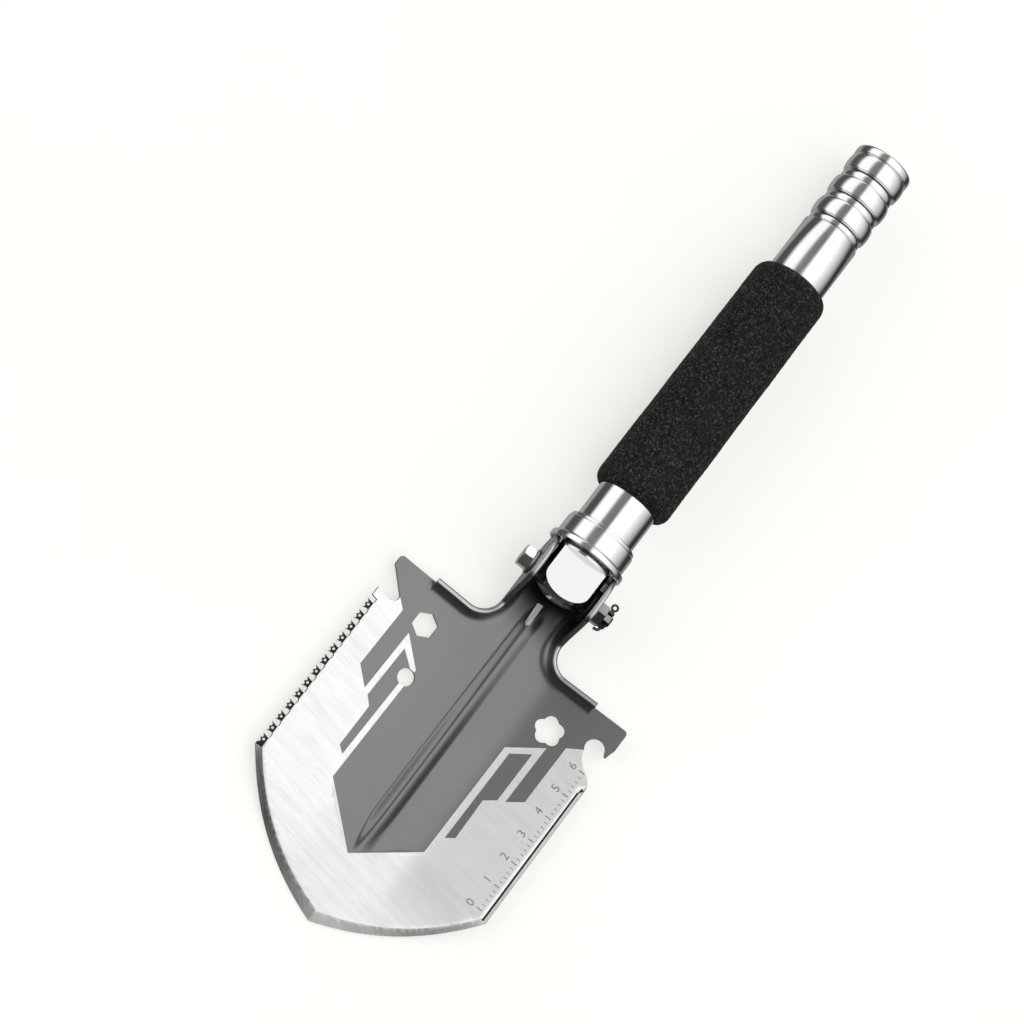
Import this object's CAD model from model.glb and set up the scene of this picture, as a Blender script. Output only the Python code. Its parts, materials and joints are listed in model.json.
import json
from math import acos, atan2, cos, degrees, hypot, pi, radians, sin, sqrt, tan

import bmesh
import bpy
import numpy as np
from mathutils import Matrix, Vector, noise
from mathutils.geometry import delaunay_2d_cdt


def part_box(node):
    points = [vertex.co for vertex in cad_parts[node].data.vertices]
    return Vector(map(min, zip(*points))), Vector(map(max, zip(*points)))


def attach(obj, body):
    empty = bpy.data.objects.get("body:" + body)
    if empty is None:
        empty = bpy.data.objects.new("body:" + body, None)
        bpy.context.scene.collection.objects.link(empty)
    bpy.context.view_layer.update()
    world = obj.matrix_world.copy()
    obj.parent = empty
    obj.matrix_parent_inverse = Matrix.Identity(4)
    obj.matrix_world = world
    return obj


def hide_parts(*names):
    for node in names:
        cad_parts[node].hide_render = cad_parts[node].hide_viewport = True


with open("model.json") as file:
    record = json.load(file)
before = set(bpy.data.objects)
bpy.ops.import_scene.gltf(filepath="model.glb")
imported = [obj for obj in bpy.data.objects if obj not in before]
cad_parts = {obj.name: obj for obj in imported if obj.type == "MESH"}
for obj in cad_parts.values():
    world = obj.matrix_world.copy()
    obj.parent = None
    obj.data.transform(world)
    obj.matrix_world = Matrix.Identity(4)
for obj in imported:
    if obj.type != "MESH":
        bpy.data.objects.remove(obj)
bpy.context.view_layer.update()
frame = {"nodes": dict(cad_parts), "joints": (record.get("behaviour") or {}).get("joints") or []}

# ---- places and sizes

MM = 0.001
JOINTS = {joint["name"]: joint for joint in frame["joints"]}
BOLT = Vector(JOINTS["blade_fold"]["pos_m"])  # hinge bolt, on the handle's axis

# Everything below is in millimetres about the hinge bolt, with the handle along +X.


def low(node):
    """Lowest corner of a CAD node, in millimetres about the bolt."""
    return (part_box(node)[0] - BOLT) / MM


def high(node):
    """Highest corner of a CAD node, in millimetres about the bolt."""
    return (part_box(node)[1] - BOLT) / MM


AXIS_HEIGHT = BOLT.z / MM
TIP_X = low("blade").x
TAIL_X = high("torch_barrel").x
HALF_WIDTH = high("blade").y
TUBE_RADIUS = high("handle_tube").y
TUBE_BORE = 10.0
GRIP_START_X = low("foam_grip").x
GRIP_END_X = high("foam_grip").x
GRIP_RADIUS = high("foam_grip").y

SHEET = 2.0
WASHER_FACE_Y = high("head_washer").y
WASHER_THICKNESS, WASHER_RADIUS = 0.95, 5.2
PLATE_Z = SHEET / 2 - AXIS_HEIGHT
TIP_Y = -1.5
SHOULDER_X = -111.5
TIP_SAGITTA = 5.1
EAR_X = -25.6
WING_BEND_Y = 18.0
WING_SOFTNESS = 3.0
WING_SLOPE = tan(radians(7))
RIB_START_X, RIB_FULL_X, RIB_EASE_X, RIB_LOW_X, RIB_END_X = -121.5, -100.0, -90.0, -19.8, -6.6
RIB_HEIGHT, RIB_LOW_HEIGHT, RIB_HALF_WIDTH = 3.2, 1.4, 4.2
LIP_X, LIP_END_Y, LIP_RISE = -25.4, 36.5, 5.5
BEND_RADIUS, FILLET_RADIUS = 5.0, 9.4
CHEEK_Y, CHEEK_RADIUS = 12.8, 13.2
NECK_FLOOR_END_X = 1.7
WALL_LOW_X, WALL_KNEE_X, WALL_HIGH_X = -23.0, -17.5, -5.0  # where the wall's top edge changes slope
WALL_KNEE_RISE = 6.6
TEETH, TOOTH_PITCH, FIRST_TOOTH_X = 13, 5.1, -108.6
TOOTH_HALF_TOP, TOOTH_HALF_WAIST = 1.85, 1.3
GULLET_DEPTH, CROWN_DEPTH = 2.7, 0.8

HEX_HOLE = (-40.2, 30.1, 8.6)  # x, y and width across flats
ROUND_HOLE = (-59.3, 24.0, 3.3)  # x, y and radius
LOBED_HOLE = (-42.4, -29.0)  # x and y
OPENER_ARC = (-37.7, -46.0, 3.8)  # x, y and radius
NOTCH_ARC = (-38.7, 46.1, 2.6)


def to_world(x, y, z):
    """A place about the bolt, in metres in the shared frame."""
    return BOLT + Vector((x, y, z)) * MM


# ---- small geometry helpers


def mix(a, b, t):
    return a + (b - a) * t


def smooth(a, b, x):
    """Smooth 0 to 1 step of x between a and b, for numbers or arrays."""
    t = np.clip((x - a) / (b - a), 0.0, 1.0)
    return t * t * (3 - 2 * t)


def arc(cx, cy, radius, start, end, steps):
    """Points of an arc, angles in degrees."""
    angles = [radians(mix(start, end, i / steps)) for i in range(steps + 1)]
    return [(cx + radius * cos(a), cy + radius * sin(a)) for a in angles]


def curve(points, steps=8):
    """A smooth curve through a few points."""
    made = []
    for i in range(len(points) - 1):
        p0, p1 = points[max(i - 1, 0)], points[i]
        p2, p3 = points[i + 1], points[min(i + 2, len(points) - 1)]
        for k in range(steps):
            t = k / steps
            made.append(tuple(
                0.5 * (2 * b + (c - a) * t + (2 * a - 5 * b + 4 * c - d) * t * t
                       + (3 * b - a - 3 * c + d) * t ** 3)
                for a, b, c, d in zip(p0, p1, p2, p3)
            ))
    made.append(tuple(points[-1]))
    return made


def inside(points, polygon):
    """Which 2-D points are inside a closed polygon."""
    x, y = points[:, 0], points[:, 1]
    hit = np.zeros(len(points), bool)
    for (x1, y1), (x2, y2) in zip(polygon[-1:] + polygon[:-1], polygon):
        if y1 == y2:
            continue
        crosses = (y1 > y) != (y2 > y)
        hit ^= crosses & (x < (x2 - x1) * (y - y1) / (y2 - y1) + x1)
    return hit


def distance_to(points, line):
    """Distance from each 2-D point to a polyline."""
    best = np.full(len(points), 1e9)
    for a, b in zip(line[:-1], line[1:]):
        a, b = np.array(a), np.array(b)
        along = np.clip(((points - a) @ (b - a)) / max((b - a) @ (b - a), 1e-12), 0, 1)
        gap = points - (a + along[:, None] * (b - a))
        best = np.minimum(best, np.hypot(gap[:, 0], gap[:, 1]))
    return best


def add_object(name, data):
    made = bpy.data.objects.new(name, data)
    bpy.context.scene.collection.objects.link(made)
    return made


def add_mesh(name, verts, faces, materials, slots=None, sharp=35.0):
    """A mesh object, smooth except over sharp edges."""
    mesh = bpy.data.meshes.new(name)
    mesh.from_pydata([tuple(v) for v in verts], [], faces)
    for material in materials:
        mesh.materials.append(material)
    if slots is not None:
        mesh.polygons.foreach_set("material_index", slots)
    mesh.shade_smooth()
    mesh.set_sharp_from_angle(angle=radians(sharp))
    mesh.update()
    return add_object(name, mesh)


def place(piece, body, *nodes, slot=None):
    """Put a finished piece on a body, in place of CAD nodes."""
    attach(piece, body)
    if nodes:
        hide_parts(*nodes)
    return piece


def rounded(profile, steps=4):
    """A profile of (x, radius) or (x, radius, fillet) points, with its corners rounded."""
    made = []
    count = len(profile)
    for i, point in enumerate(profile):
        here = np.array(point[:2], float)
        if len(point) < 3:
            made.append(tuple(here))
            continue
        before = np.array(profile[i - 1][:2], float)
        after = np.array(profile[(i + 1) % count][:2], float)
        ways = []
        for other in (before, after):
            way = other - here
            reach = np.linalg.norm(way)
            ways.append(here + way * min(point[2], 0.49 * reach) / reach)
        for k in range(steps + 1):
            t = k / steps
            at = (1 - t) ** 2 * ways[0] + 2 * t * (1 - t) * here + t ** 2 * ways[1]
            made.append(tuple(at))
    return made


def turned(name, profile, material, sides=128, axis="x", sharp=35.0):
    """A piece turned about an axis: the profile closes on itself, or starts and ends on it."""
    area = 0.0
    for (x0, r0), (x1, r1) in zip(profile, profile[1:] + profile[:1]):
        area += r0 * x1 - r1 * x0
    points = profile if area < 0 else profile[::-1]
    verts, rings = [], []
    for x, r in points:
        count = 1 if r < 1e-6 else sides
        rings.append((len(verts), count))
        for j in range(count):
            angle = 2 * pi * j / sides
            spot = (x, r * cos(angle), r * sin(angle))
            if axis == "y":
                spot = (-spot[1], spot[0], spot[2])
            verts.append(to_world(*spot))
    faces = []
    for (a, na), (b, nb) in zip(rings, rings[1:] + rings[:1]):
        for j in range(sides):
            k = (j + 1) % sides
            quad = [a + j % na, b + j % nb, b + k % nb, a + k % na]
            face = [v for i, v in enumerate(quad) if v not in quad[:i]]
            if len(face) > 2:
                faces.append(face)
    return add_mesh(name, verts, faces, [material], sharp=sharp)


def prism_mesh(name, points, low_end, high_end, material, axis="z"):
    """An outline extruded along z or y."""
    verts = []
    for end in (low_end, high_end):
        for a, b in points:
            verts.append(to_world(*((a, b, end) if axis == "z" else (a, end, b))))
    n = len(points)
    faces = [list(range(n))[::-1], list(range(n, 2 * n))]
    for i in range(n):
        k = (i + 1) % n
        faces.append([i, k, n + k, n + i])
    made = add_mesh(name, verts, faces, [material])
    fix = bmesh.new()
    fix.from_mesh(made.data)
    bmesh.ops.recalc_face_normals(fix, faces=fix.faces)
    fix.to_mesh(made.data)
    fix.free()
    return made


def block(name, corner, opposite, material):
    """A box between two opposite corners."""
    (x0, y0, z0), (x1, y1, z1) = corner, opposite
    outline = [(x0, y0), (x1, y0), (x1, y1), (x0, y1)]
    return prism_mesh(name, outline, z0, z1, material)


def ring_points(cx, cy, radius, sides, turn=0.0):
    """Corners of a regular polygon."""
    angles = [turn + 2 * pi * i / sides for i in range(sides)]
    return [(cx + radius * cos(a), cy + radius * sin(a)) for a in angles]


def settle(piece):
    """Apply a piece's modifiers to its mesh."""
    bpy.context.view_layer.update()
    graph = bpy.context.evaluated_depsgraph_get()
    mesh = bpy.data.meshes.new_from_object(piece.evaluated_get(graph))
    piece.modifiers.clear()
    piece.data = mesh
    return piece


def combine(piece, others, operation="DIFFERENCE"):
    """Cut other pieces out of a piece, or join them to it."""
    for other in others:
        step = piece.modifiers.new("join", "BOOLEAN")
        step.operation = operation
        step.solver = "EXACT"
        step.object = other
        settle(piece)
        bpy.data.objects.remove(other)
    return piece


def soften(piece, width, sharp=30.0):
    """Round a piece's sharp edges by a small width in millimetres."""
    step = piece.modifiers.new("soften", "BEVEL")
    step.width = width * MM
    step.segments = 2
    step.limit_method = "ANGLE"
    step.angle_limit = radians(sharp)
    settle(piece)
    piece.data.shade_smooth()
    piece.data.set_sharp_from_angle(angle=radians(40))
    flatter = piece.modifiers.new("flatter", "WEIGHTED_NORMAL")
    flatter.keep_sharp = True
    settle(piece)
    return piece


# ---- materials


def add_node(tree, kind, inputs=None, **settings):
    """A shader node with its settings, and with its inputs linked or set."""
    node = tree.nodes.new(kind)
    for key, value in settings.items():
        setattr(node, key, value)
    for key, value in (inputs or {}).items():
        if isinstance(value, bpy.types.NodeSocket):
            tree.links.new(value, node.inputs[key])
        else:
            node.inputs[key].default_value = value
    return node


def fill_ramp(node, stops):
    """Give a ramp its stops, each a position from 0 to 1 with a grey or a colour."""
    line = node.color_ramp
    while len(line.elements) < len(stops):
        line.elements.new(0.5)
    for element, (spot, colour) in zip(line.elements, stops):
        element.position = spot
        grey = isinstance(colour, (int, float))
        element.color = (colour, colour, colour, 1) if grey else (*colour, 1)
    return node.outputs["Color"]


class Surface:
    """A material made of nodes, with the shader's own values set on its sockets."""

    def __init__(self, name, **values):
        self.material = bpy.data.materials.new(name)
        self.material.use_nodes = True
        self.tree = self.material.node_tree
        self.shader = self.tree.nodes["Principled BSDF"]
        for key, value in values.items():
            self.shader.inputs[key.replace("_", " ").title().replace("Ior", "IOR")].default_value = value
        self.place = self.add("ShaderNodeTexCoord").outputs["Object"]

    def add(self, kind, inputs=None, **settings):
        return add_node(self.tree, kind, inputs, **settings)

    def link(self, output, key):
        self.tree.links.new(output, self.shader.inputs[key])

    def stretched(self, scale, turn=(0, 0, 0)):
        """Object coordinates, turned and stretched."""
        turned_place = self.add("ShaderNodeMapping", {"Vector": self.place, "Rotation": turn})
        stretch = {"Vector": turned_place.outputs["Vector"], "Scale": scale}
        return self.add("ShaderNodeMapping", stretch).outputs["Vector"]

    def noise(self, place, scale, detail=3.0, roughness=0.55):
        settings = {"Vector": place, "Scale": scale, "Detail": detail, "Roughness": roughness}
        return self.add("ShaderNodeTexNoise", settings).outputs["Fac"]

    def ramp(self, factor, *stops):
        return fill_ramp(self.add("ShaderNodeValToRGB", {"Fac": factor}), stops)

    def blend(self, share, one, other):
        """A grey between two greys. Inputs 0, 2 and 3 of a Mix node are its share and two floats."""
        return self.add("ShaderNodeMix", {0: share, 2: one, 3: other}).outputs[0]

    def bump(self, height, strength, distance, normal=None):
        inputs = {"Height": height, "Strength": strength, "Distance": distance}
        if normal is not None:
            inputs["Normal"] = normal
        return self.add("ShaderNodeBump", inputs).outputs["Normal"]


BRUSHING = radians(-80)  # the steel is brushed nearly straight across the blade


def brushed_steel():
    """Bright sheet, brushed in fine lines."""
    s = Surface("brushed_steel", metallic=0.9)
    fine = s.noise(s.stretched((110, 2600, 60), (0, 0, BRUSHING)), 1.0, 4.0)
    streaks = s.noise(s.stretched((30, 420, 20), (0, 0, BRUSHING)), 1.0, 3.0)
    clouds = s.noise(s.place, 38.0, 3.0)
    both = s.blend(0.45, fine, streaks)
    tone = s.blend(0.25, both, clouds)
    tones = [(0.3, (0.74, 0.74, 0.735)), (0.5, (0.85, 0.85, 0.845)), (0.7, (0.94, 0.94, 0.935))]
    s.link(s.ramp(tone, *tones), "Base Color")
    s.link(s.ramp(both, (0.3, 0.46), (0.7, 0.34)), "Roughness")
    s.link(s.bump(fine, 0.2, 0.00004), "Normal")
    return s.material


def blade_paint():
    """Satin grey coating, very slightly orange-peeled."""
    s = Surface("blade_paint", metallic=0.75)
    peel = s.noise(s.place, 900.0, 2.0)
    clouds = s.noise(s.place, 24.0, 4.0)
    tone = s.ramp(clouds, (0.1, (0.18, 0.182, 0.186)), (0.9, (0.23, 0.232, 0.236)))
    depth = s.add("ShaderNodeAttribute", attribute_name="recess").outputs["Fac"]
    # Inputs 6 and 7 of a Mix node are its two colours.
    darker = s.add("ShaderNodeMix", {0: depth, 6: tone, 7: (0.012, 0.012, 0.012, 1)}, data_type="RGBA")
    s.link(darker.outputs[2], "Base Color")
    s.link(s.ramp(clouds, (0.1, 0.22), (0.9, 0.3)), "Roughness")
    s.link(s.bump(peel, 0.05, 0.00004), "Normal")
    return s.material


def ground_steel(name, tone, roughness, turn=0.0):
    """Ground edge with short grinding lines."""
    s = Surface(name, metallic=0.95)
    lines = s.noise(s.stretched((2400, 120, 120), (0, 0, turn)), 1.0, 3.0)
    patches = s.noise(s.place, 120.0, 3.0)
    both = s.blend(0.4, lines, patches)
    s.link(s.ramp(both, (0.3, tone * 0.75), (0.7, min(1.0, tone * 1.2))), "Base Color")
    s.link(s.ramp(lines, (0.3, roughness * 0.8), (0.7, roughness * 1.2)), "Roughness")
    s.link(s.bump(lines, 0.15, 0.00005), "Normal")
    return s.material


def turned_metal(name, colour, roughness, lines=0.05, spots=0.06):
    """Polished metal with fine rings left by turning, and faint smears."""
    s = Surface(name, metallic=1.0)
    rings = s.noise(s.stretched((5200, 8, 8)), 1.0, 2.0)
    smears = s.noise(s.place, 70.0, 4.0)
    low_tone = tuple(c * (1 - spots) for c in colour)
    s.link(s.ramp(smears, (0.35, low_tone), (0.65, colour)), "Base Color")
    s.link(s.ramp(smears, (0.3, roughness * 0.75), (0.75, roughness * 1.35)), "Roughness")
    s.link(s.bump(rings, lines, 0.00003), "Normal")
    return s.material


def foam_skin():
    """Black closed-cell foam: matt, with a skin of small cells that catch the light."""
    s = Surface("foam_skin", specular_ior_level=0.22)
    cells = s.add("ShaderNodeTexVoronoi", {"Vector": s.place, "Scale": 1500.0}, feature="F1")
    each = s.add("ShaderNodeSeparateColor", {"Color": cells.outputs["Color"]}).outputs[0]
    grain = s.noise(s.place, 1700.0, 3.0, 0.7)
    flecks = s.blend(0.35, grain, each)
    s.link(s.ramp(flecks, (0.3, 0.002), (0.5, 0.008), (0.62, 0.025), (0.72, 0.085)), "Base Color")
    s.link(s.ramp(grain, (0.3, 0.55), (0.7, 0.85)), "Roughness")
    first = s.bump(cells.outputs["Distance"], 0.8, 0.0005)
    s.link(s.bump(grain, 0.6, 0.0003, first), "Normal")
    return s.material


def plain(name, colour, roughness, metallic=0.0, grain=400.0, depth=0.00003, **values):
    """Moulded or cast surface with a fine grain."""
    s = Surface(name, metallic=metallic, **values)
    fine = s.noise(s.place, grain, 3.0)
    broad = s.noise(s.place, grain / 12, 3.0)
    dark = tuple(c * 0.85 for c in colour)
    s.link(s.ramp(broad, (0.35, dark), (0.65, colour)), "Base Color")
    s.link(s.ramp(broad, (0.3, roughness * 0.85), (0.7, min(1.0, roughness * 1.15))), "Roughness")
    s.link(s.bump(fine, 0.2, depth), "Normal")
    return s.material


def clear_glass():
    s = Surface("clear_glass", transmission_weight=1.0, ior=1.5, roughness=0.02)
    smear = s.noise(s.place, 160.0, 2.0)
    s.link(s.ramp(smear, (0.4, 0.01), (0.8, 0.05)), "Roughness")
    s.link(s.ramp(smear, (0.3, (0.96, 0.98, 0.99)), (0.7, (1.0, 1.0, 1.0))), "Base Color")
    return s.material


STEEL = brushed_steel()
PAINT = blade_paint()
BEVEL = ground_steel("ground_bevel", 0.5, 0.3, radians(40))
CUT_EDGE = ground_steel("sheared_edge", 0.34, 0.42)
TOOTH = ground_steel("tooth_facets", 0.035, 0.34, radians(90))
MARK = plain("etched_mark", (0.3, 0.3, 0.305), 0.6, 0.3)
CHROME = turned_metal("bright_plate", (0.86, 0.865, 0.875), 0.15)
TORCH = turned_metal("torch_plate", (0.83, 0.835, 0.845), 0.17, lines=0.1)
HUB = turned_metal("hub_aluminium", (0.7, 0.7, 0.695), 0.13, lines=0.02, spots=0.03)
HEAD = turned_metal("bolt_plate", (0.85, 0.85, 0.85), 0.08, lines=0.06, spots=0.2)
NUT = turned_metal("nut_plate", (0.3, 0.3, 0.3), 0.1, lines=0.06, spots=0.3)
DARK_STEEL = turned_metal("dark_steel", (0.09, 0.09, 0.095), 0.14, lines=0.06, spots=0.3)
WASHER = turned_metal("washer_plate", (0.5, 0.505, 0.515), 0.3)
BRASS = turned_metal("brass", (0.72, 0.56, 0.3), 0.25)
FOAM = foam_skin()
BLACK = plain("black_plastic", (0.02, 0.02, 0.022), 0.42)
RUBBER = plain("seal_rubber", (0.015, 0.015, 0.016), 0.6)
JACKET = plain("cell_jacket", (0.1, 0.14, 0.19), 0.3, coat_weight=0.4)
PHOSPHOR = plain("led_phosphor", (0.95, 0.85, 0.35), 0.2)
BARE = plain("worn_bare_metal", (0.97, 0.97, 0.96), 0.5, metallic=0.85)
MIRROR = turned_metal("reflector_mirror", (0.93, 0.94, 0.95), 0.04, lines=0.02)
GLASS = clear_glass()


# ---- blade


def plate_height(x, y):
    """Middle of the pressed sheet: central rib and rising wings, for arrays of points."""
    away = np.abs(y)
    past = away - WING_BEND_Y
    soft = 0.5 * (past + np.sqrt(past ** 2 + WING_SOFTNESS ** 2))
    wing = (soft - 0.12) * WING_SLOPE * smooth(TIP_X, SHOULDER_X, x)
    crest = mix(RIB_HEIGHT, RIB_LOW_HEIGHT, smooth(RIB_EASE_X, RIB_LOW_X, x))
    fade = smooth(RIB_START_X, RIB_FULL_X, x) * (1 - smooth(RIB_LOW_X, RIB_END_X, x))
    spread = mix(0.3, 1.0, np.clip((x - RIB_START_X) / 18.0, 0, 1) ** 0.7) * RIB_HALF_WIDTH
    across = 0.5 + 0.5 * np.cos(np.pi * np.minimum(1.0, away / spread))
    return PLATE_Z + np.maximum(wing, 0.0) + crest * fade * across


def tip_edge(side, steps=26):
    """One bowed edge of the tip, from its point to the shoulder."""
    start = np.array([TIP_X, TIP_Y])
    chord = np.array([SHOULDER_X, side * HALF_WIDTH]) - start
    out = np.array([-chord[1], chord[0]]) * side / np.linalg.norm(chord)
    made = []
    for i in range(steps + 1):
        t = i / steps
        made.append(tuple(start + chord * t + out * 4 * t * (1 - t) * TIP_SAGITTA))
    return made


def saw_edge():
    """From the shoulder to the rear: crown-shaped teeth over round gullets, then the notch."""
    made = []
    bottom = HALF_WIDTH - GULLET_DEPTH
    waist = [(0.6, bottom), (0.15, bottom + 0.3), (0.0, bottom + 0.8)]
    for i in range(TEETH):
        x = FIRST_TOOTH_X + i * TOOTH_PITCH
        if i:
            made += [(x - TOOTH_HALF_WAIST - flare, y) for flare, y in waist]
        for k in range(9):
            across = mix(-1, 1, k / 8)
            dip = CROWN_DEPTH * abs(sin(pi * across))
            made.append((x + TOOTH_HALF_TOP * across, HALF_WIDTH - dip))
        made += [(x + TOOTH_HALF_WAIST + flare, y) for flare, y in waist[::-1]]
    straight = FIRST_TOOTH_X + TEETH * TOOTH_PITCH - TOOTH_HALF_TOP
    made += [(straight, bottom), (straight + 0.5, HALF_WIDTH - 0.3)]
    made += curve([(-40.2, HALF_WIDTH - 0.3), (-39.9, 51.4), (-40.8, 49.9), (-41.1, 48.2)], 4)
    made += arc(*NOTCH_ARC, 150, 290, 12)
    made += [(-30.6, HALF_WIDTH - 0.9), (-30.2, HALF_WIDTH - 0.3), (-29.4, HALF_WIDTH)]
    made += arc(EAR_X - 1.2, HALF_WIDTH - 1.2, 1.2, 90, 0, 5)
    return made


def knife_edge():
    """From the shoulder to the rear: straight edge, then the bottle-opener hook."""
    gap = [(-50.6, -HALF_WIDTH + 0.1), (-49.3, -51.2), (-47.5, -49.6)]
    gap += [(-46.2, -47.2), (-44, -44.8), (-41.6, -43.45)]
    beak = [(-37.4, -49.9), (-38.1, -50.6), (-37.9, -51.1), (-37.0, -51.35), (-35.6, -51.6)]
    ear = [(-34, -HALF_WIDTH), (-28, -HALF_WIDTH)]
    return [
        (-52.4, -HALF_WIDTH),
        *curve(gap, 4),
        *arc(*OPENER_ARC, 125, -70, 18),
        *beak,
        *ear,
        *arc(EAR_X - 1.6, -50.6, 1.6, -90, 0, 5),
    ]


def wall_path():
    """Middle line of the upright wall on one side: lip, fillet and cheek, with the way inwards."""
    path = [(LIP_X, mix(LIP_END_Y, CHEEK_Y + FILLET_RADIUS, i / 8), -1.0, 0.0) for i in range(8)]
    cx, cy = LIP_X + FILLET_RADIUS, CHEEK_Y + FILLET_RADIUS
    for dx, dy in arc(0, 0, 1, 180, 270, 16):
        path.append((cx + FILLET_RADIUS * dx, cy + FILLET_RADIUS * dy, dx, dy))
    x = cx + 1.2
    while x < NECK_FLOOR_END_X - 0.4:
        path.append((x, CHEEK_Y, 0.0, -1.0))
        x += 1.2
    path.append((NECK_FLOOR_END_X, CHEEK_Y, 0.0, -1.0))
    return path


def cheek_path():
    """Places along the handle of the cheek's points past the end of the neck's floor."""
    start = degrees(acos(NECK_FLOOR_END_X / CHEEK_RADIUS))
    angles = [mix(start, 4, i / 16) for i in range(1, 17)]
    return [CHEEK_RADIUS * cos(radians(a)) for a in angles]


def wall_top(x):
    """Height of the wall's top edge about the bolt."""
    if x > WALL_HIGH_X:
        return sqrt(max(0.0, CHEEK_RADIUS ** 2 - x ** 2))
    cheek = sqrt(CHEEK_RADIUS ** 2 - WALL_HIGH_X ** 2)
    knee = PLATE_Z + WALL_KNEE_RISE
    if x > WALL_KNEE_X:
        return mix(knee, cheek, float(smooth(WALL_KNEE_X, WALL_HIGH_X, x)))
    return mix(PLATE_Z + LIP_RISE, knee, float(smooth(WALL_LOW_X, WALL_KNEE_X, x)))


def rear_edge(side):
    """Rear of the flat sheet, where the bent wall takes over."""
    made = [(EAR_X, side * (LIP_END_Y + 0.4)), (EAR_X - 0.4, side * LIP_END_Y)]
    for x, y, in_x, in_y in wall_path():
        made.append((x + BEND_RADIUS * in_x, side * (y + BEND_RADIUS * in_y)))
    return made


def blade_outline():
    """The flat sheet's outline, from the tip round the knife side and back along the saw side."""
    knife_side = tip_edge(-1) + knife_edge() + rear_edge(-1)
    saw_side = tip_edge(1)[1:] + saw_edge() + rear_edge(1)
    return knife_side + saw_side[::-1]


def lobed_outline(steps=60):
    """The hole with five lobes."""
    least, swell, lobes = 4.6, 1.1, 5
    made = []
    for i in range(steps):
        angle = 2 * pi * i / steps
        radius = least + swell * sqrt(0.5 + 0.5 * cos(lobes * angle))
        made.append((LOBED_HOLE[0] - radius * sin(angle), LOBED_HOLE[1] + radius * cos(angle)))
    return made


# The coating's edge from the tip of its arrow to the notch and to the opener, and its stripes.
COAT_TIP = (-121.8, 2.2)
COAT_SAW = [(-103.6, 23.2), (-62.9, 22.7), (-55.1, 22.8), (-46.2, 33.1), (-71.7, 33.6), (-65.9, 40.3),
            (-41.2, 39.9), (-38.4, 43.2), (-38.0, HALF_WIDTH + 5)]
COAT_KNIFE = [(-104.7, -19.5), (-57.0, -19.9), (-48.1, -32.0), (-72.7, -31.8), (-68.5, -37.4),
              (-43.8, -37.6), (-40.0, -43.5), (-39.0, -HALF_WIDTH - 5)]
SAW_STRIPE = [(-95.2, 25.4), (-56.0, 24.7), (-51.5, 30.9), (-72.9, 31.3), (-75.9, 28.3), (-93.1, 28.3)]
KNIFE_STRIPE = [(-96.2, -22.3), (-57.8, -22.5), (-53.0, -29.3), (-74.0, -29.2), (-77.1, -25.1),
                (-93.9, -25.4)]
WORN_PATCH = [(-8.0, 2.3), (-7.7, 0.0), (-16.5, 0.0), (-17.6, 0.75), (-16.4, 1.6)]


def painted_outlines():
    """The coated area and its two stripes, as closed outlines."""
    rear = [(20.0, HALF_WIDTH + 5), (20.0, -HALF_WIDTH - 5)]
    return [[COAT_TIP] + COAT_SAW + rear + COAT_KNIFE[::-1], SAW_STRIPE, KNIFE_STRIPE]


def bevel_width(y):
    """Width of the ground band along the tip edges."""
    return mix(4.3, 2.1, np.clip(np.abs(y) / HALF_WIDTH, 0, 1) ** 0.8)


def tip_bevel_line(side):
    """Inner border of the ground band on one tip edge."""
    edge = np.array(tip_edge(side))
    along = np.gradient(edge, axis=0)
    inward = np.stack([along[:, 1], -along[:, 0]], 1) * side
    inward /= np.linalg.norm(inward, axis=1)[:, None]
    line = edge + inward * bevel_width(edge[:, 1])[:, None]
    return [tuple(p) for p in line if abs(p[1]) < HALF_WIDTH + 0.5 and p[1] * side > TIP_Y * side]


KNIFE_LAND, KNIFE_STEP, KNIFE_END_X = 1.1, 2.0, -52.8
KNIFE_END_SLANT = 0.8


def knife_inset(x, y):
    """Distance in from the knife edge, growing past the end of the ground part."""
    past = np.maximum(0.0, x - KNIFE_END_X + (y + HALF_WIDTH) * KNIFE_END_SLANT)
    return np.maximum(y + HALF_WIDTH, past * 1.4)


TOOTH_ROOT_Y = HALF_WIDTH - GULLET_DEPTH + 0.35
TOOTH_SPOT = (HALF_WIDTH - 1.2, 0.5)  # y and radius of the bright spot on each tooth
TEETH_END_X = -45.0
TIP_GRIND, KNIFE_GRIND, TOOTH_GRIND = 1.25, 1.15, 1.3  # how deep each edge is ground at its border


def tooth_spots():
    return [ring_points(FIRST_TOOTH_X + i * TOOTH_PITCH, *TOOTH_SPOT, 8) for i in range(TEETH)]


def on_teeth(points):
    """Which 2-D points are on the ground band along the teeth."""
    x, y = points[:, 0], points[:, 1]
    return (y > TOOTH_ROOT_Y) & (x > SHOULDER_X) & (x < TEETH_END_X)


def grind(points):
    """How far the front face is ground down at each 2-D point."""
    x, y = points[:, 0], points[:, 1]
    depth = np.zeros(len(points))
    for side in (1, -1):
        near = distance_to(points, tip_edge(side))
        depth = np.maximum(depth, TIP_GRIND * np.clip(1 - near / bevel_width(y), 0, 1))
    inset = knife_inset(x, y)
    step = KNIFE_GRIND * np.clip((KNIFE_STEP - inset) / (KNIFE_STEP - KNIFE_LAND), 0, 1)
    on_edge = (y < 0) & (x > SHOULDER_X)
    depth = np.maximum(depth, np.where(on_edge, step, 0))
    facet = TOOTH_GRIND * (y - TOOTH_ROOT_Y) / (HALF_WIDTH - TOOTH_ROOT_Y)
    return np.maximum(depth, np.where(on_teeth(points), facet, 0))


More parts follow.
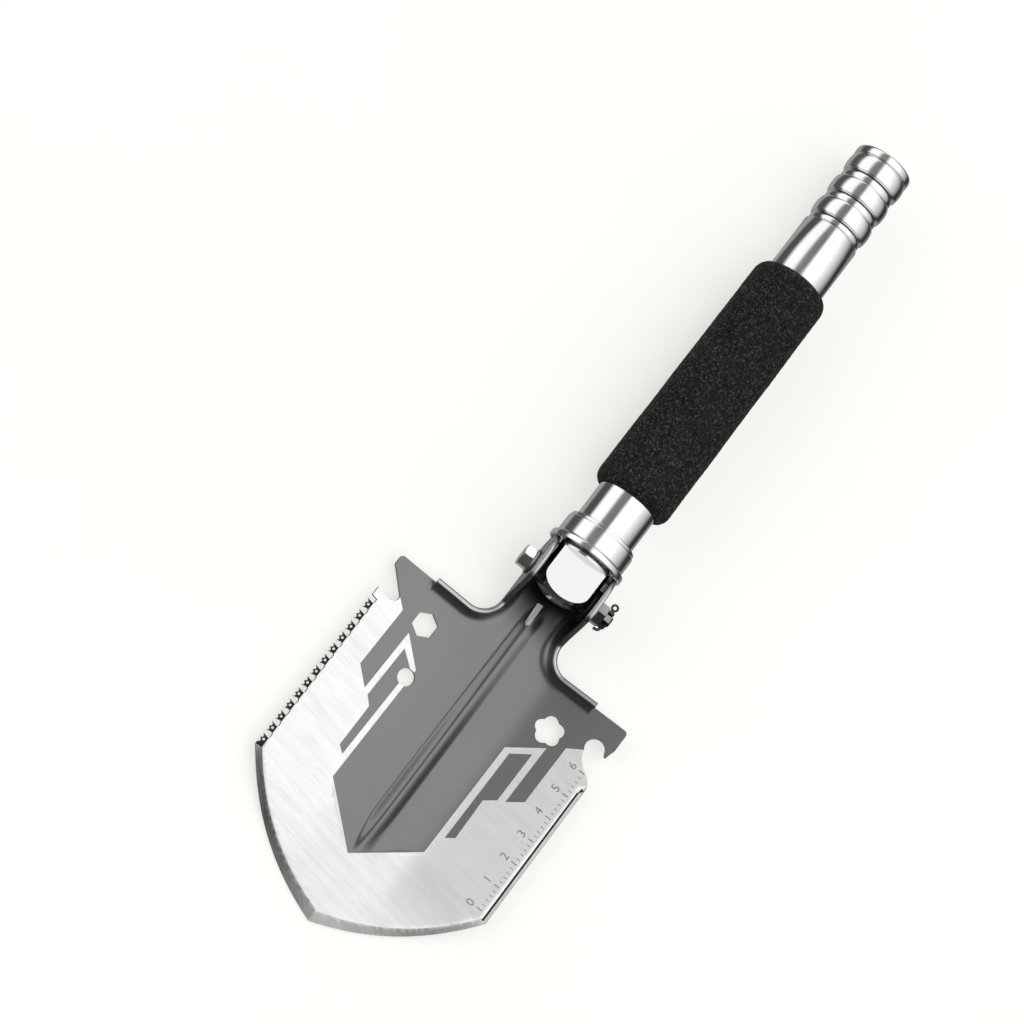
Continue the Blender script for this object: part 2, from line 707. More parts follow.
def plate_triangles():
    """The flat sheet as triangles in plan, with every painted and ground border as an edge."""
    outline = blade_outline()
    holes = [
        ring_points(HEX_HOLE[0], HEX_HOLE[1], HEX_HOLE[2] / sqrt(3), 6),
        ring_points(*ROUND_HOLE, 40),
        lobed_outline(),
    ]
    points, edges = [], []

    def chain(line, closes):
        first = len(points)
        points.extend(line)
        count = len(line)
        for i in range(count if closes else count - 1):
            edges.append((first + i, first + (i + 1) % count))

    for loop in [outline, *holes, *painted_outlines(), WORN_PATCH]:
        chain(loop, True)
    for side in (1, -1):
        chain(tip_bevel_line(side), False)
    for inset in (KNIFE_LAND, KNIFE_STEP):
        end = KNIFE_END_X - inset * KNIFE_END_SLANT
        y = inset - HALF_WIDTH
        chain([(SHOULDER_X, y), (end, y), (end + 1.9, -HALF_WIDTH - 0.3)], False)
    last_tooth_end = FIRST_TOOTH_X + (TEETH - 0.5) * TOOTH_PITCH
    chain([(SHOULDER_X, TOOTH_ROOT_Y), (last_tooth_end, TOOTH_ROOT_Y)], False)
    for spot in tooth_spots():
        chain(spot, True)

    fine = np.arange(-6.0, 6.01, 0.6)
    coarse = np.arange(7.5, HALF_WIDTH, 1.6)
    rows = np.concatenate([-coarse[::-1], fine, coarse])
    columns = np.arange(TIP_X + 0.9, NECK_FLOOR_END_X, 1.6)
    grid = np.array([(x, y) for x in columns for y in rows])
    keep = inside(grid, outline) & (distance_to(grid, outline + outline[:1]) > 0.45)
    for hole in holes:
        keep &= ~inside(grid, hole) & (distance_to(grid, hole + hole[:1]) > 0.4)
    for loop in painted_outlines():
        keep &= distance_to(grid, loop + loop[:1]) > 0.3
    points.extend(tuple(p) for p in grid[keep])

    made = delaunay_2d_cdt([Vector(p) for p in points], edges, [], 0, 1e-5, False)
    flat = np.array([tuple(v) for v in made[0]])
    triangles = np.array([f for f in made[2] if len(f) == 3])
    middles = flat[triangles].mean(1)
    solid = inside(middles, outline)
    for hole in holes:
        solid &= ~inside(middles, hole)
    return flat, triangles[solid], middles[solid]


def wall_sections(side):
    """Rows of points up the bent wall on one side, from the sheet to the wall's top edge."""
    turns = [radians(a) for a in range(0, 91, 15)]
    rows = []
    path = wall_path()
    for x, y, in_x, in_y in path + [(x, CHEEK_Y, 0.0, -1.0) for x in cheek_path()]:
        foot = np.array([[x + BEND_RADIUS * in_x, side * (y + BEND_RADIUS * in_y)]])
        base = float(plate_height(foot[:, 0], foot[:, 1])[0])
        top = max(wall_top(x), base + BEND_RADIUS + 0.4)
        section = []
        for turn in turns:
            rise = base + BEND_RADIUS * (1 - cos(turn))
            section.append((BEND_RADIUS * (1 - sin(turn)), rise))
        for k in range(1, 7):
            section.append((0.0, mix(base + BEND_RADIUS, top, k / 6)))
        if x > NECK_FLOOR_END_X:
            floor = -sqrt(max(0.0, CHEEK_RADIUS ** 2 - x ** 2))
            top = wall_top(x)
            blend = float(smooth(NECK_FLOOR_END_X, NECK_FLOOR_END_X + 2.5, x))
            floor = mix(base, floor, blend)
            heights = [mix(floor, top, k / (len(section) - 1)) for k in range(len(section))]
            section = [(bend_inset(z - base), z) for z in heights]
        rows.append([(x + inward * in_x, side * (y + inward * in_y), z) for inward, z in section])
    return rows


def bend_inset(rise):
    """How far the bend stands inwards of the wall at a height over the sheet."""
    if rise >= BEND_RADIUS:
        return 0.0
    return BEND_RADIUS - sqrt(max(0.0, BEND_RADIUS ** 2 - (BEND_RADIUS - rise) ** 2))


# What each face of the blade shows, in the order of its materials.
BARE_STEEL, COATED, BEVELLED, CUT, TOOTHED, RIM, WORN = range(7)
BLADE_MATERIALS = [STEEL, PAINT, BEVEL, CUT_EDGE, TOOTH, WASHER, BARE]


def make_blade():
    """The flat sheet with its coating and ground edges, and the bent walls, as one thick sheet."""
    flat, triangles, middles = plate_triangles()
    used = np.unique(triangles)
    renumber = {int(old): new for new, old in enumerate(used)}
    flat = flat[used]
    mid = np.column_stack([flat, plate_height(flat[:, 0], flat[:, 1])])
    faces = [tuple(renumber[int(v)] for v in t) for t in triangles]
    painted = np.zeros(len(faces), bool)
    for loop in painted_outlines():
        painted |= inside(middles, loop)
    ground = grind(flat)
    zone = np.where(painted, COATED, BARE_STEEL)
    tip_zone = np.zeros(len(faces), bool)
    for side in (1, -1):
        tip_zone |= distance_to(middles, tip_edge(side)) < bevel_width(middles[:, 1])
    inset = knife_inset(middles[:, 0], middles[:, 1])
    knife_zone = (middles[:, 1] < 0) & (middles[:, 0] > SHOULDER_X) & (inset < KNIFE_STEP)
    tooth_zone = on_teeth(middles)
    for spot in tooth_spots():
        tooth_zone &= ~inside(middles, spot)
    zone = np.where(tip_zone | (knife_zone & (inset < KNIFE_LAND)), BEVELLED, zone)
    zone = np.where((knife_zone & (inset >= KNIFE_LAND)) | tooth_zone, TOOTHED, zone)
    zone = np.where(inside(middles, WORN_PATCH), WORN, zone)

    verts = [tuple(p) for p in mid]
    zones = list(zone)
    lowered = list(ground)
    for side in (1, -1):
        rows = wall_sections(side)
        first = len(verts)
        columns = len(rows[0])
        for row in rows:
            verts.extend(row)
            lowered.extend([0.0] * columns)
        for i in range(len(rows) - 1):
            for j in range(columns - 1):
                a, b = first + i * columns + j, first + (i + 1) * columns + j
                quad = (a, a + 1, b + 1, b)
                faces.append(quad if side < 0 else quad[::-1])
                zones.append(COATED)

    verts, faces, zones, lowered = weld(verts, faces, zones, lowered)
    return thicken("blade_sheet", verts, faces, zones, lowered)


def weld(verts, faces, zones, lowered):
    """Merge points that lie within about 0.005 mm of each other."""
    keys, kept, low_kept, where = {}, [], [], []
    for point, drop in zip(verts, lowered):
        key = tuple(round(c * 200) for c in point)
        if key not in keys:
            keys[key] = len(kept)
            kept.append(point)
            low_kept.append(drop)
        where.append(keys[key])
    new_faces, new_zones = [], []
    for face, zone in zip(faces, zones):
        ids = [where[v] for v in face]
        ids = [v for i, v in enumerate(ids) if v not in ids[:i]]
        if len(ids) > 2:
            new_faces.append(tuple(ids))
            new_zones.append(zone)
    return np.array(kept), new_faces, new_zones, np.array(low_kept)


def vertex_normals(verts, faces):
    """Unit normals of the points, each from the faces around it."""
    normals = np.zeros_like(verts)
    for face in faces:
        a, b, c = verts[face[0]], verts[face[1]], verts[face[2]]
        way = np.cross(b - a, c - a)
        if len(face) == 4:
            way = way + np.cross(c - a, verts[face[3]] - a)
        for v in face:
            normals[v] += way
    return normals / np.maximum(np.linalg.norm(normals, axis=1), 1e-12)[:, None]


RIM_POINTS, RIM_ROUND = 5, 0.4
CHEEK_MIDDLE_Y = WASHER_FACE_Y - WASHER_THICKNESS - SHEET / 2
CHEEK_END_X = -16.0  # the wall's top edge is worn bare from here to the hub


def rim_points(front, back):
    """Points over the rounded top edge of the bent wall, from its inside face to its outside."""
    middle = (front + back) / 2
    made = []
    for k in range(1, RIM_POINTS + 1):
        turn = pi * k / (RIM_POINTS + 1)
        lift = np.array([0, 0, RIM_ROUND * sin(turn)])
        made.append(middle + (front - middle) * cos(turn) + lift)
    return np.array(made)


def thicken(name, verts, faces, zones, lowered):
    """A solid sheet about a middle surface, ground down on its front where asked."""
    normals = vertex_normals(verts, faces)
    count = len(verts)
    front = verts + normals * SHEET / 2
    front[:, 2] -= lowered
    back = verts - normals * SHEET / 2
    solid = [tuple(f) for f in faces] + [tuple(count + v for v in reversed(f)) for f in faces]
    slots = [int(z) for z in zones] + [COATED] * len(faces)
    seen = dict.fromkeys(pair for f in faces for pair in zip(f, f[1:] + f[:1]))
    everything = [front, back]
    total = 2 * count
    crown = {}
    flat_starts, flat_ends = set(), set()
    for a, b in seen:
        if (b, a) in seen:
            continue
        if min(verts[a][2], verts[b][2]) < PLATE_Z + BEND_RADIUS:
            solid.append((b, a, count + a, count + b))
            slots.append(CUT)
            flat_starts.add(a)
            flat_ends.add(b)
            continue
        for v in (a, b):
            if v not in crown:
                crown[v] = total
                everything.append(rim_points(front[v], back[v]))
                total += RIM_POINTS
        chain_a = [a, *range(crown[a], crown[a] + RIM_POINTS), count + a]
        chain_b = [b, *range(crown[b], crown[b] + RIM_POINTS), count + b]
        for k in range(RIM_POINTS + 1):
            solid.append((chain_b[k], chain_a[k], chain_a[k + 1], chain_b[k + 1]))
            near_hub = verts[a][0] > CHEEK_END_X
            bare = 0 < k < RIM_POINTS if near_hub else 1 < k < RIM_POINTS - 1
            slots.append(RIM if bare else COATED)
    for v, first in crown.items():
        over = [v, *range(first, first + RIM_POINTS), count + v]
        for meets, cap in ((flat_starts, over), (flat_ends, over[::-1])):
            if v in meets:
                solid.append(tuple(cap))
                slots.append(COATED)
    world = [to_world(*p) for p in np.vstack(everything)]
    made = add_mesh(name, world, solid, BLADE_MATERIALS, slots, sharp=40)
    recess = made.data.attributes.new("recess", "FLOAT", "POINT")
    spots = [(Vector(v) - BOLT) / MM for v in world]
    depth = [max(neck_shade(spot), rib_shade(spot)) for spot in spots]
    recess.data.foreach_set("value", depth)
    return made


def rib_shade(spot):
    """How burnished the knife-side flank of the rib is at a point: strongest near the blade's tip."""
    across = float(smooth(0.3, 1.6, -spot.y)) * (1 - float(smooth(2.8, 4.6, -spot.y)))
    along = float(smooth(RIB_START_X, RIB_START_X + 8, spot.x))
    along *= 1 - 0.6 * float(smooth(-75, -40, spot.x))
    return 0.62 * across * along * (1 - float(smooth(-24, -16, spot.x)))


def neck_shade(spot):
    """How dark the oxide in the neck is at a point: strongest beside and under the hub."""
    along = float(smooth(-24, -7, spot.x))
    across = 1 - 0.35 * float(smooth(6, 12, abs(spot.y)))
    on_top = 1 - float(smooth(PLATE_Z + 9, PLATE_Z + 20, spot.z))
    if abs(spot.y) < CHEEK_MIDDLE_Y and spot.z > PLATE_Z + BEND_RADIUS:
        return along
    return 0.93 * along * across * on_top


place(make_blade(), "blade", "blade", slot="blade_steel")

# ---- ruler on the knife side

RULER_ZERO_X, RULER_STEP, RULER_MARKS, TICKS_PER_STEP = -108.9, 10.25, 7, 5
NUMERAL_Y, NUMERAL_HEIGHT = -43.2, 3.3
FONT_SIZE_PER_HEIGHT = 1.38
INK = 0.04  # how far the marks stand above the steel


def front_height(x, y):
    """Where the marks stand on the sheet's front."""
    return float(plate_height(np.array([x]), np.array([y]))[0]) + SHEET / 2 + INK


def numeral(character):
    """Outline faces of a numeral as flat triangles, centred, in its own plane."""
    text = bpy.data.curves.new("numeral", "FONT")
    text.body = character
    text.align_x = "CENTER"
    text.align_y = "CENTER"
    text.size = NUMERAL_HEIGHT * FONT_SIZE_PER_HEIGHT
    text.resolution_u = 4
    holder = add_object("numeral", text)
    bpy.context.view_layer.update()
    mesh = bpy.data.meshes.new_from_object(holder.evaluated_get(bpy.context.evaluated_depsgraph_get()))
    verts = [(v.co.x, v.co.y) for v in mesh.vertices]
    faces = [tuple(p.vertices) for p in mesh.polygons]
    bpy.data.objects.remove(holder)
    bpy.data.curves.remove(text)
    bpy.data.meshes.remove(mesh)
    return verts, faces


def make_ruler():
    """Numerals and ticks along the knife edge."""
    verts, faces = [], []

    def lay(points, polygons):
        first = len(verts)
        verts.extend(to_world(x, y, front_height(x, y)) for x, y in points)
        faces.extend(tuple(first + v for v in polygon) for polygon in polygons)

    for mark in range(RULER_MARKS):
        x = RULER_ZERO_X + mark * RULER_STEP
        shapes, polygons = numeral(str(mark))
        lay([(x + px, NUMERAL_Y + py) for px, py in shapes], polygons)
    foot = -48.4
    for tick in range(TICKS_PER_STEP * (RULER_MARKS - 1) + 1):
        x = RULER_ZERO_X + tick * RULER_STEP / TICKS_PER_STEP
        top, half = (-46.0, 0.2) if tick % TICKS_PER_STEP == 0 else (-47.0, 0.13)
        lay([(x - half, foot), (x + half, foot), (x + half, top), (x - half, top)], [(0, 1, 2, 3)])
    return add_mesh("ruler_marks", verts, faces, [MARK])


place(make_ruler(), "blade", slot="blade_steel")

# ---- hinge bolt, along Y

HEX_CORNER = 8 / sqrt(3)
SHANK_RADIUS, SHANK_START_Y, THREAD_START_Y = 2.45, 15.2, -14.0
NUT_BORE, CROWN_RADIUS = 2.75, 3.8
HEAD_TOP_Y = high("pivot_bolt").y
SHANK_END_Y = low("pivot_bolt").y
CROWN_END_Y = low("castle_nut").y
NUT_FACE_Y = CROWN_END_Y + 2.4
PIN_Y = -19.7


def hexagon(name, y0, y1, chamfered, material):
    """A hexagon along Y with the corners of one face turned off."""
    corners = ring_points(0, 0, HEX_CORNER, 6, pi / 2)
    piece = prism_mesh(name, corners, min(y0, y1), max(y0, y1), material, "y")
    way = 1 if chamfered > (y0 + y1) / 2 else -1
    far = chamfered - way * 12
    cone = [(far, 0), (far, 7), (chamfered - way * 1.6, 7), (chamfered, 3.7), (chamfered, 0)]
    return combine(piece, [turned("cone", cone, material, 64, "y")], "INTERSECT")


def threaded(start, end, radius, pitch=0.8, depth=0.3):
    """Profile of a thread drawn as rings, from start to end."""
    made = []
    way = 1 if end > start else -1
    count = int(abs(end - start) / pitch)
    for i in range(count):
        y = start + way * i * pitch
        made += [(y, radius - depth), (y + way * pitch * 0.3, radius), (y + way * pitch * 0.6, radius)]
    return made + [(end, radius - depth)]


def make_bolt():
    """Head and shank, with its thread, of the hinge bolt."""
    head = hexagon("bolt_head", WASHER_FACE_Y + 0.1, HEAD_TOP_Y, HEAD_TOP_Y, HEAD)
    soften(head, 0.12, 25)
    shank = [(SHANK_START_Y, 0), (SHANK_START_Y, SHANK_RADIUS), (THREAD_START_Y, SHANK_RADIUS)]
    shank += threaded(THREAD_START_Y - 0.2, SHANK_END_Y + 0.6, SHANK_RADIUS)
    shank += [(SHANK_END_Y, 1.9), (SHANK_END_Y, 0)]
    place(head, "blade", "pivot_bolt", slot="dark_steel")
    place(turned("bolt_shank", shank, DARK_STEEL, 48, "y"), "blade", "pivot_bolt", slot="dark_steel")


def make_washer(node, y0, y1):
    """A flat washer between two places along the bolt."""
    profile = [(y0, NUT_BORE), (y0, WASHER_RADIUS, 0.2), (y1, WASHER_RADIUS, 0.2), (y1, NUT_BORE)]
    place(turned(node + "_disc", rounded(profile), WASHER, 64, "y"), "blade", node, slot="bright_plate")


def make_nut():
    """Castle nut: a hexagon with a slotted crown."""
    body = hexagon("nut", NUT_FACE_Y, -WASHER_FACE_Y - 0.1, NUT_FACE_Y, NUT)
    root = NUT_FACE_Y + 0.4
    crown = [(CROWN_END_Y, NUT_BORE), (CROWN_END_Y, CROWN_RADIUS, 0.5)]
    crown += [(root, CROWN_RADIUS), (root, NUT_BORE)]
    combine(body, [turned("crown", rounded(crown), DARK_STEEL, 64, "y")], "UNION")
    slots = []
    for turn in (0, 60, 120):
        cutter = block("slot", (-6, CROWN_END_Y - 1, -0.75), (6, NUT_FACE_Y + 0.2, 0.75), DARK_STEEL)
        spin = Matrix.Rotation(radians(turn), 4, "Y")
        cutter.data.transform(Matrix.Translation(BOLT) @ spin @ Matrix.Translation(-BOLT))
        slots.append(cutter)
    combine(body, slots)
    bore = [(-24, 0), (-24, NUT_BORE), (-13, NUT_BORE), (-13, 0)]
    combine(body, [turned("bore", bore, DARK_STEEL, 48, "y")])
    place(soften(body, 0.14, 30), "blade", "castle_nut", slot="dark_steel")


def wire(name, points, radius, material, sides=14, closed=False):
    """A round wire along a smooth curve."""
    path = [Vector(p) for p in (points if closed else curve(points, 8))]
    count = len(path)
    verts, faces = [], []
    side = Vector((0, 0, 1))
    for i, spot in enumerate(path):
        before = path[i - 1] if i or closed else spot
        after = path[(i + 1) % count] if i < count - 1 or closed else spot
        way = (after - before).normalized()
        side = (side - way * side.dot(way)).normalized()
        other = way.cross(side)
        for j in range(sides):
            angle = 2 * pi * j / sides
            offset = side * cos(angle) + other * sin(angle)
            verts.append(to_world(*(spot + offset * radius)))
    for i in range(count if closed else count - 1):
        k = (i + 1) % count
        for j in range(sides):
            m = (j + 1) % sides
            faces.append((i * sides + j, i * sides + m, k * sides + m, k * sides + j))
    if not closed:
        faces += [list(range(sides))[::-1], [len(verts) - sides + j for j in range(sides)]]
    return add_mesh(name, verts, faces, [material])


def make_cotter_pin():
    """Split pin through the nut's crown, drawn as one wire, with its eye."""
    legs = [(4.6, 0), (2.8, 0), (-3.6, 0), (-4.9, 0.7), (-5.2, 2.2)]
    legs = [(x, PIN_Y + rise, 0) for x, rise in legs]
    eye = [(x, y, 0) for x, y in ring_points(5.4, PIN_Y, 1.1, 24)]
    place(wire("cotter_legs", legs, 0.55, DARK_STEEL), "blade", "cotter_pin", slot="dark_steel")
    place(wire("cotter_eye", eye, 0.45, DARK_STEEL, closed=True), "blade", "cotter_pin", slot="dark_steel")


make_bolt()
make_washer("head_washer", WASHER_FACE_Y - WASHER_THICKNESS, WASHER_FACE_Y)
make_washer("nut_washer", -WASHER_FACE_Y, WASHER_THICKNESS - WASHER_FACE_Y)
make_nut()
make_cotter_pin()

# ---- hub and handle

HUB_RADIUS, HUB_FLAT_Z, HUB_SIDE_Y, HUB_END_X = 11.8, 7.4, 10.8, 12.6
NOSE_X, NOSE_START_X, NOSE_LENGTH = -6.8, 0.6, 7.4
HUB_FLAT_END_X, HUB_SHOULDER_X, HUB_PLUG_END_X, HUB_PLUG_RADIUS, BUSH_RADIUS = 10.9, 13.4, 50, 9.95, 3.45


def make_hub():
    """Domed hub between the cheeks, with flats front and back, and its plug inside the tube."""
    nose = [(NOSE_X, 0)]
    for step in range(1, 13):
        angle = radians(7.5 * step)
        nose.append((NOSE_START_X - NOSE_LENGTH * cos(angle), HUB_RADIUS * sin(angle)))
    back = [(HUB_END_X, HUB_RADIUS, 0.3), (HUB_SHOULDER_X, HUB_RADIUS - 1, 0.3)]
    back += [(HUB_SHOULDER_X, HUB_PLUG_RADIUS), (HUB_PLUG_END_X - 1.2, HUB_PLUG_RADIUS)]
    back += [(HUB_PLUG_END_X, HUB_PLUG_RADIUS - 1.15), (HUB_PLUG_END_X, 0)]
    hub = turned("hub", nose + rounded([nose[-1]] + back + [(0, 0)])[1:-1], HUB, 160)
    far = 20
    cutters = []
    for side in (1, -1):
        z0, z1 = sorted((side * HUB_FLAT_Z, side * far))
        cutters.append(block("flat", (-far, -far, z0), (HUB_FLAT_END_X, far, z1), HUB))
        y0, y1 = sorted((side * HUB_SIDE_Y, side * far))
        cutters.append(block("cheek_flat", (-far, y0, -far), (HUB_END_X, y1, far), HUB))
    bore = [(-far, 0), (-far, BUSH_RADIUS), (far, BUSH_RADIUS), (far, 0)]
    cutters.append(turned("hub_bore", bore, HUB, 48, "y"))
    combine(hub, cutters)
    place(soften(hub, 0.15, 30), "handle", "hinge_block", slot="hub_aluminium")


def make_tube():
    start, end = 13.8, 141.5
    profile = [(start, TUBE_BORE), (start, TUBE_RADIUS, 0.4), (end, TUBE_RADIUS, 0.4), (end, TUBE_BORE)]
    tube = turned("tube", rounded(profile), CHROME, 192)
    place(tube, "handle", "handle_tube", slot="bright_plate")


def grip_profile():
    """The foam's outer profile: rounded shoulders, and a slow taper to the torch."""
    front, back, drop, taper, steps = 4.2, 5.2, 3.4, 0.5, 150
    bore = TUBE_RADIUS + 0.15
    turns = [radians(90 * k / 14) for k in range(15)]
    made = [(GRIP_START_X + 0.25, bore)]
    for a in turns[1:]:
        made.append((GRIP_START_X + front * (1 - cos(a)), GRIP_RADIUS - drop * (1 - sin(a))))
    span = GRIP_END_X - back - GRIP_START_X - front
    for k in range(1, steps):
        made.append((GRIP_START_X + front + span * k / steps, GRIP_RADIUS - taper * k / steps))
    for a in turns:
        made.append((GRIP_END_X - back * (1 - sin(a)), GRIP_RADIUS - taper - drop * (1 - cos(a))))
    made.append((GRIP_END_X - 0.25, bore))
    return made


def make_grip():
    """Foam sleeve with a pebbled skin: fine bubbles, and slow unevenness from moulding."""
    sides = 320
    grip = turned("foam_sleeve", grip_profile(), FOAM, sides)
    points = np.empty(len(grip.data.vertices) * 3)
    grip.data.vertices.foreach_get("co", points)
    points = points.reshape(-1, 3)
    out = points[:, 1:] - np.array([BOLT.y, BOLT.z])
    radius = np.linalg.norm(out, axis=1)
    skin = radius > (TUBE_RADIUS + 0.3) * MM
    for index in np.nonzero(skin)[0]:
        spot = Vector(points[index])
        slow = noise.noise(spot * 55.0)
        pebble = noise.noise(spot * 620.0)
        depth = (0.12 * slow - 0.12 + 0.16 * (abs(pebble) - 0.55)) * MM
        points[index, 1:] += out[index] / radius[index] * depth
    grip.data.vertices.foreach_set("co", points.ravel())
    grip.data.update()
    place(grip, "handle", "foam_grip", slot="foam")


make_hub()
make_tube()
make_grip()

# ---- collar and ring

THREAD_BORE = TUBE_RADIUS + 0.3


def make_collar():
    """The pressure ring against the cheeks, and the screw collar behind it."""
    ring_start, ring_end = low("pressure_ring").x, high("pressure_ring").x
    ring_radius = high("pressure_ring").y
    dish = [(13.7, THREAD_BORE), (13.7, ring_radius - 0.9, 0.15), (ring_start, ring_radius - 0.9, 0.1),
            (ring_start, ring_radius, 0.5), (ring_end, ring_radius, 0.9), (ring_end, THREAD_BORE)]
    ring_piece = turned("thrust_ring", rounded(dish), CHROME, 192)
    place(ring_piece, "pressure_ring", "pressure_ring", slot="bright_plate")
    start, end = low("lock_collar").x, high("lock_collar").x
    body = [(start, THREAD_BORE), (start, 13.9, 0.2), (start + 0.4, 14.2, 0.2), (22.3, 14.2, 0.35),
            (22.5, 13.75, 0.1), (end, 13.75, 0.6), (end, THREAD_BORE)]
    place(turned("collar", rounded(body), CHROME, 192), "lock_collar", "lock_collar", slot="bright_plate")


make_collar()

# ---- torch

HEAD_BORE = 9.7  # also the radius of the thread that goes into the tube
BODY_END_X = 166.2
BEADS = [(166.2, 169.5), (176.3, 180.0), (186.6, 190.5)]
BEAD_RADIUS, BARREL_RADIUS, BARREL_CROWN, BODY_RADIUS = 10.9, 11.4, 0.6, 11.5
LIP_START_X = 197.2


def torch_profile():
    """Thread, seal groove, plain body, three beads with barrels between them, lip and bore."""
    made = [(129.5, 8.3), (129.5, 9.2), (130, HEAD_BORE), *threaded(130.4, 137.9, HEAD_BORE, 1.5, 0.5)]
    made += [(138.3, HEAD_BORE), (138.3, 8.9), (140.5, 8.9), (140.5, HEAD_BORE), (142.2, HEAD_BORE)]
    made += [(142.2, 11.1), (142.6, BODY_RADIUS), (154.0, BODY_RADIUS), (BODY_END_X - 0.5, BODY_RADIUS)]
    made += [(BODY_END_X, BODY_RADIUS - 0.4)]
    for i, (start, end) in enumerate(BEADS):
        barrel_end = BEADS[i + 1][0] if i + 1 < len(BEADS) else LIP_START_X
        for k in range(13):
            t = k / 12
            made.append((mix(start + 0.1, end - 0.1, t), BEAD_RADIUS - 0.55 + 0.6 * sin(pi * t)))
        for k in range(21):
            t = k / 20
            crown = BARREL_CROWN * sin(pi * t) ** 0.55 if 0 < t < 1 else 0.0
            made.append((mix(end, barrel_end, t), BARREL_RADIUS - 0.1 + crown))
    lip = [(LIP_START_X + 0.15, 11.1, 0.1), (197.7, 11.7, 0.3), (200.3, 11.7, 0.5)]
    lip += [(TAIL_X, 11.1, 0.3), (TAIL_X, HEAD_BORE, 0.2)]
    inside_end = [(172.8, HEAD_BORE), (172.8, 8.3)]
    return made + rounded([made[-1]] + lip + inside_end)[1:]


def make_torch():
    """Torch head with its reflector, window and bezel."""
    barrel = turned("torch_body", torch_profile(), TORCH, 192, sharp=50)
    place(barrel, "torch_head", "torch_barrel", slot="torch_plate")
    steps = 12
    cup = [(mix(183.0, 194.3, k / steps), mix(2.6, 8.5, sqrt(k / steps))) for k in range(steps + 1)]
    outer = [(194.3, 9.3), (192.9, 9.3), (188, 7.9), (185.2, 6.2), (183.0, 4.2)]
    place(facetted_cup("reflector_cup", cup, outer), "torch_head", "reflector", slot="reflector_mirror")
    glass = [(195.5, 0), (195.5, 9.35, 0.15), (197.0, 9.35, 0.3), (197.0, 0)]
    place(turned("window", rounded(glass), GLASS, 128), "torch_head", "lens", slot="lens_glass")
    bezel = [(197.3, 8.1, 0.1), (197.3, 9.4, 0.1), (199.6, 9.4, 0.2), (199.6, 8.6, 0.2), (198.9, 8.1, 0.2)]
    place(turned("bezel", rounded(bezel), BLACK, 128), "torch_head", "bezel_ring", slot="black_plastic")


def facetted_cup(name, inner, outer, sides=96, facets=16):
    """Reflector whose inside is dimpled in rows of facets."""
    cup = turned(name, inner + outer, MIRROR, sides, sharp=60)
    for vertex in cup.data.vertices:
        spot = (vertex.co - BOLT) / MM
        radius = hypot(spot.y, spot.z)
        on_cup = any(abs(spot.x - x) < 1e-3 and abs(radius - r) < 1e-3 for x, r in inner[1:-1])
        if on_cup:
            turn = atan2(spot.z, spot.y) * facets + spot.x * 2.2
            grow = 1 + 0.045 * abs(sin(turn / 2))
            vertex.co = to_world(spot.x, spot.y * grow, spot.z * grow)
    cup.data.update()
    return cup


make_torch()

# ---- parts kept from the frame

KEPT = {
    BRASS: ["pivot_bush", "spring_contact", "driver_housing"],
    BLACK: ["side_washer_saw", "side_washer_knife", "battery_sleeve", "led_board"],
    RUBBER: ["torch_o_ring", "lens_gasket"],
    DARK_STEEL: ["cross_pin"],
    WASHER: ["battery_spring"],
    JACKET: ["battery_cell"],
    PHOSPHOR: ["led_emitter"],
}
for material, nodes in KEPT.items():
    for node in nodes:
        mesh = frame["nodes"][node].data
        mesh.materials.clear()
        mesh.materials.append(material)
        mesh.shade_smooth()
        mesh.set_sharp_from_angle(angle=radians(35))

# ---- floor, light and camera


def make_floor():
    """Wide pale sheet that glows a little, and that metal doesn't reflect."""
    s = Surface("pale_floor", specular_ior_level=0.1)
    grain = s.noise(s.place, 3.0)
    s.link(s.ramp(grain, (0.3, (0.5, 0.497, 0.483)), (0.7, (0.53, 0.527, 0.512))), "Base Color")
    s.link(s.ramp(grain, (0.3, (0.985, 0.975, 0.935)), (0.7, (1.0, 0.99, 0.95))), "Emission Color")
    s.shader.inputs["Emission Strength"].default_value = 0.62
    s.link(s.ramp(grain, (0.3, 0.85), (0.7, 0.95)), "Roughness")
    size = 3.0
    corners = [(-size, -size, 0), (size, -size, 0), (size, size, 0), (-size, size, 0)]
    floor = add_mesh("floor", corners, [(0, 1, 2, 3)], [s.material])
    floor.visible_glossy = False


make_floor()

CAMERA_DISTANCE = 1200.0
LOOK_AT = (9.53, 31.0)  # the point on the handle's plane in the middle of the picture
TILT_TO_TIP = radians(12.0)
TILT_TO_SAW = radians(4.3)
HANDLE_ANGLE = radians(52.38)  # handle's direction in the picture
SENSOR_WIDTH = 36.0
FOCAL_TO_WIDTH = 3.263671875


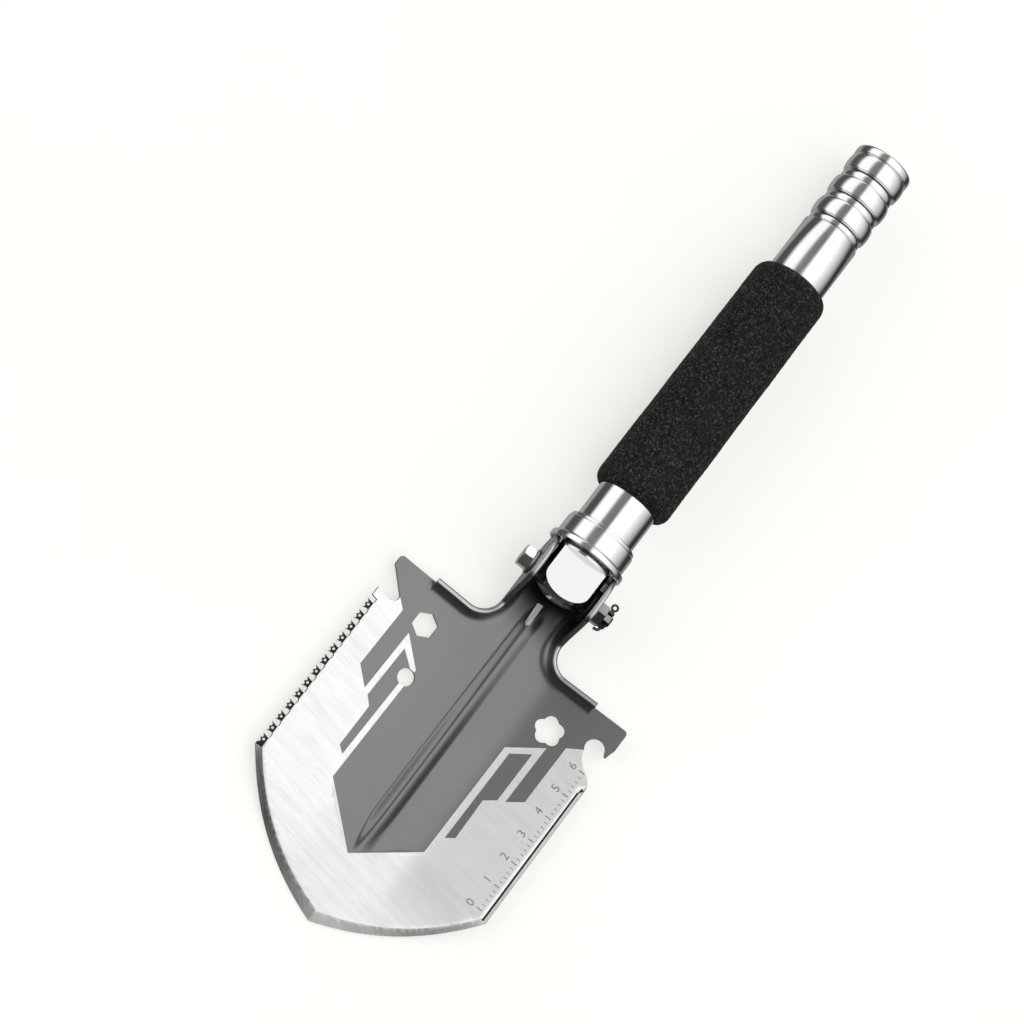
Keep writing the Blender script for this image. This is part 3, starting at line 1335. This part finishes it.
def make_camera():
    """A long lens over the shovel, with the handle pointing up to the right."""
    away = Vector((-tan(TILT_TO_TIP), tan(TILT_TO_SAW), 1.0)).normalized()
    along = (Vector((1, 0, 0)) - away * away.x).normalized()
    across = away.cross(along)
    right = along * cos(HANDLE_ANGLE) - across * sin(HANDLE_ANGLE)
    up = along * sin(HANDLE_ANGLE) + across * cos(HANDLE_ANGLE)
    lens = bpy.data.cameras.new("camera")
    lens.sensor_width = SENSOR_WIDTH
    lens.lens = SENSOR_WIDTH * FOCAL_TO_WIDTH
    lens.clip_end = 20.0
    camera = add_object("camera", lens)
    turn = Matrix((right, up, away)).transposed().to_4x4()
    target = to_world(LOOK_AT[0], LOOK_AT[1], 0)
    camera.matrix_world = Matrix.Translation(target + away * CAMERA_DISTANCE * MM) @ turn
    bpy.context.scene.camera = camera


make_camera()

# Angles round the handle, in degrees from straight up towards the saw side, with their light.
LIGHT_BANDS = [(-180, 0.28), (-140, 0.25), (-128, 0.03), (-106, 0.03), (-92, 0.34), (-58, 0.85),
               (-44, 1.1), (2, 1.1), (8, 0.14), (34, 0.2), (43, 1.0), (78, 1.05), (90, 0.07),
               (122, 0.07), (134, 0.34), (180, 0.28)]
TIP_FLAG = {"From Min": -0.8, "From Max": -0.3, "To Min": 0.03, "To Max": 1.0}  # dark beyond the tip
STUDIO_STRENGTH = 1.2


def make_studio():
    """A soft white studio with dark flags along the handle, for the bands on polished metal."""
    world = bpy.data.worlds.new("studio")
    bpy.context.scene.world = world
    world.use_nodes = True
    tree = world.node_tree
    way = add_node(tree, "ShaderNodeTexCoord").outputs["Generated"]
    split = add_node(tree, "ShaderNodeSeparateXYZ", {0: way}).outputs
    angle = add_node(tree, "ShaderNodeMath", {0: split["Y"], 1: split["Z"]}, operation="ARCTAN2").outputs[0]
    whole_turn = {"Value": angle, "From Min": -pi, "From Max": pi}
    turn = add_node(tree, "ShaderNodeMapRange", whole_turn).outputs["Result"]
    stops = [((at + 180) / 360, grey) for at, grey in LIGHT_BANDS]
    light = fill_ramp(add_node(tree, "ShaderNodeValToRGB", {"Fac": turn}), stops)
    dim = {"Value": split["X"], **TIP_FLAG}
    flag = add_node(tree, "ShaderNodeMapRange", dim, interpolation_type="SMOOTHSTEP").outputs["Result"]
    shaded = add_node(tree, "ShaderNodeVectorMath", {0: light, "Scale": flag}, operation="SCALE").outputs[0]
    background = tree.nodes["Background"]
    tree.links.new(shaded, background.inputs["Color"])
    background.inputs["Strength"].default_value = STUDIO_STRENGTH


make_studio()
bpy.context.scene.view_settings.view_transform = "Standard"

# ---- sizes, and the end

bpy.context.view_layer.update()
